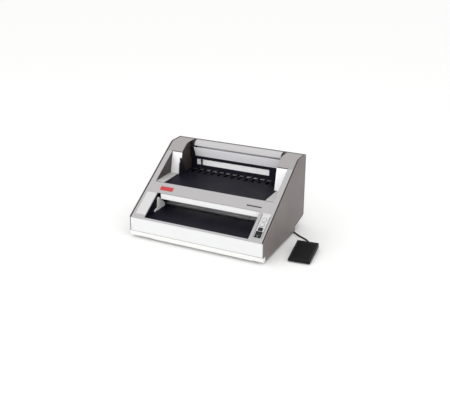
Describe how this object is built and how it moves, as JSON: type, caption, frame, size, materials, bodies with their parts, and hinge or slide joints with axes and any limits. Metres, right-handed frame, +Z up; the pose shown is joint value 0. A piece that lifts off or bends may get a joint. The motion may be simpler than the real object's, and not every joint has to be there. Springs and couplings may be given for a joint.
{
  "type": "comb binding machine",
  "caption": "Desktop electric comb binding machine: sloped casing with punching throat below, comb-opening bay above, chip drawer and a corded foot pedal.",
  "frame": {"origin": "on the table under the centre of the machine's casing", "axes": "+X along the paper's edge to the operator's right, +Y away from the operator, +Z up"},
  "size_m": [0.6701, 0.4483, 0.282],
  "materials": {
    "white_plastic": "fine texture",
    "taupe_plastic": "fine texture",
    "cap_plastic": "fine texture",
    "rear_plastic": "fine texture",
    "fascia_plastic": "fine texture",
    "panel_plastic": "satin",
    "dark_coat": "satin powder coat",
    "dark_plastic": "fine texture",
    "brown_plastic": "fine texture",
    "black_gloss": "semi gloss",
    "steel": "ground",
    "zinc": "zinc plated",
    "bronze": "sintered",
    "motor_metal": "satin",
    "gear_steel": "oiled",
    "badge_red": "gloss",
    "white_gloss": "satin",
    "trough_plastic": "satin",
    "rubber": "matt",
    "cord_rubber": "satin",
    "pedal_plastic": "satin"
  },
  "bodies": {
    "frame": {"base_pan": "white_plastic", "rubber_feet": "rubber", "left_side_cover": "taupe_plastic", "right_side_cover": "taupe_plastic", "rear_cover": "rear_plastic", "fascia": "fascia_plastic", "left_cap": "cap_plastic", "right_cap": "cap_plastic", "inset_plate": "panel_plastic", "control_plate": "panel_plastic", "switch_body": "dark_plastic", "badges": "badge_red", "left_chassis_plate": "dark_coat", "right_chassis_plate": "dark_coat", "lower_deck": "dark_coat", "chin_panel": "white_gloss", "die_plate": "steel", "stripper_plate": "steel", "guide_plate": "steel", "shaft_bearings": "bronze", "gear_motor": "motor_metal", "upper_deck": "dark_coat", "bay_walls": "brown_plastic", "pillar_panels": "white_gloss", "upper_cheeks": "brown_plastic", "back_wall": "dark_coat", "window_strip": "white_gloss", "tine_bar": "dark_plastic", "guide_rods": "zinc", "opener_motor": "motor_metal", "comb_trough": "trough_plastic", "pivot_blocks": "dark_plastic", "mains_inlet": "dark_plastic", "pedal_socket": "dark_plastic", "jack_plug": "cord_rubber", "drop_cord": "cord_rubber", "cord_coil": "cord_rubber", "run_cord": "cord_rubber", "pedal_base": "pedal_plastic", "pedal_pin": "zinc", "pedal_spring": "zinc", "pedal_switch": "dark_plastic", "pedal_feet": "rubber"},
    "drawer": {"chip_drawer": "white_plastic"},
    "drive": {"drive_shaft": "zinc", "drive_gear": "gear_steel"},
    "ram": {"punch_ram": "steel", "punch_pins": "zinc"},
    "motor_drive": {"motor_pinion": "zinc"},
    "opener": {"hook_bar": "zinc"},
    "opener_drive": {"opener_pinion": "zinc"},
    "stop": {"comb_stop": "dark_plastic"},
    "upper_guide": {"side_guide": "dark_plastic"},
    "lower_guide": {"edge_guide": "white_gloss"},
    "lid": {"top_lid": "white_gloss"},
    "power_rocker": {"rocker": "black_gloss"},
    "punch_button": {"punch_key": "black_gloss"},
    "comb_open_button": {"open_button": "panel_plastic"},
    "comb_close_button": {"close_button": "panel_plastic"},
    "treadle": {"pedal_treadle": "pedal_plastic"}
  },
  "joints": [
    {"name": "drawer_slide", "type": "slide", "parent": "frame", "child": "drawer", "axis": [0, -1, 0], "range_m": [0, 0.12]},
    {"name": "shaft_turn", "type": "hinge", "parent": "frame", "child": "drive", "pos_m": [0, 0.01502, 0.128], "axis": [1, 0, 0], "range_deg": [0, 180]},
    {"name": "ram_slide", "type": "slide", "parent": "frame", "child": "ram", "axis": [0, 0, -1], "range_m": [0, 0.01]},
    {"name": "motor_turn", "type": "hinge", "parent": "frame", "child": "motor_drive", "pos_m": [0, 0.06152, 0.128], "axis": [1, 0, 0], "range_deg": [-617.2, 0]},
    {"name": "hook_slide", "type": "slide", "parent": "frame", "child": "opener", "axis": [0, -1, 0], "range_m": [0, 0.028]},
    {"name": "opener_turn", "type": "hinge", "parent": "frame", "child": "opener_drive", "pos_m": [0, 0.11, 0.1415], "axis": [1, 0, 0], "range_deg": [0, 152.9]},
    {"name": "stop_slide", "type": "slide", "parent": "frame", "child": "stop", "axis": [1, 0, 0], "range_m": [0, 0.25]},
    {"name": "upper_guide_slide", "type": "slide", "parent": "frame", "child": "upper_guide", "axis": [1, 0, 0], "range_m": [0, 0.025]},
    {"name": "lower_guide_slide", "type": "slide", "parent": "frame", "child": "lower_guide", "axis": [1, 0, 0], "range_m": [0, 0.005]},
    {"name": "lid_hinge", "type": "hinge", "parent": "frame", "child": "lid", "pos_m": [0, 0.1735, 0.278], "axis": [-1, 0, 0], "range_deg": [0, 75]},
    {"name": "rocker_tilt", "type": "hinge", "parent": "frame", "child": "power_rocker", "pos_m": [0.234, -0.16452, 0.09492], "axis": [1, 0, 0], "range_deg": [-8, 8]},
    {"name": "punch_button_press", "type": "slide", "parent": "frame", "child": "punch_button", "axis": [0, 0.5377, -0.8431], "range_m": [0, 0.001], "stiffness_N_per_m": 400, "springref_m": -0.002},
    {"name": "open_button_press", "type": "slide", "parent": "frame", "child": "comb_open_button", "axis": [0, 0.5377, -0.8431], "range_m": [0, 0.001], "stiffness_N_per_m": 400, "springref_m": -0.002},
    {"name": "close_button_press", "type": "slide", "parent": "frame", "child": "comb_close_button", "axis": [0, 0.5377, -0.8431], "range_m": [0, 0.001], "stiffness_N_per_m": 400, "springref_m": -0.002},
    {"name": "treadle_press", "type": "hinge", "parent": "frame", "child": "treadle", "pos_m": [0.36554, -0.11271, 0.0065], "axis": [-0.9945, -0.1045, 0], "range_deg": [0, 2.5], "stiffness_Nm_per_rad": 3, "springref_deg": -8.59, "deforming": ["pedal_spring"]}
  ],
  "couplings": [
    {"joint": "shaft_turn", "follows": "ram_slide", "rad_per_m": 314.16},
    {"joint": "motor_turn", "follows": "ram_slide", "rad_per_m": -1077.1},
    {"joint": "opener_turn", "follows": "hook_slide", "rad_per_m": 95.238}
  ]
}
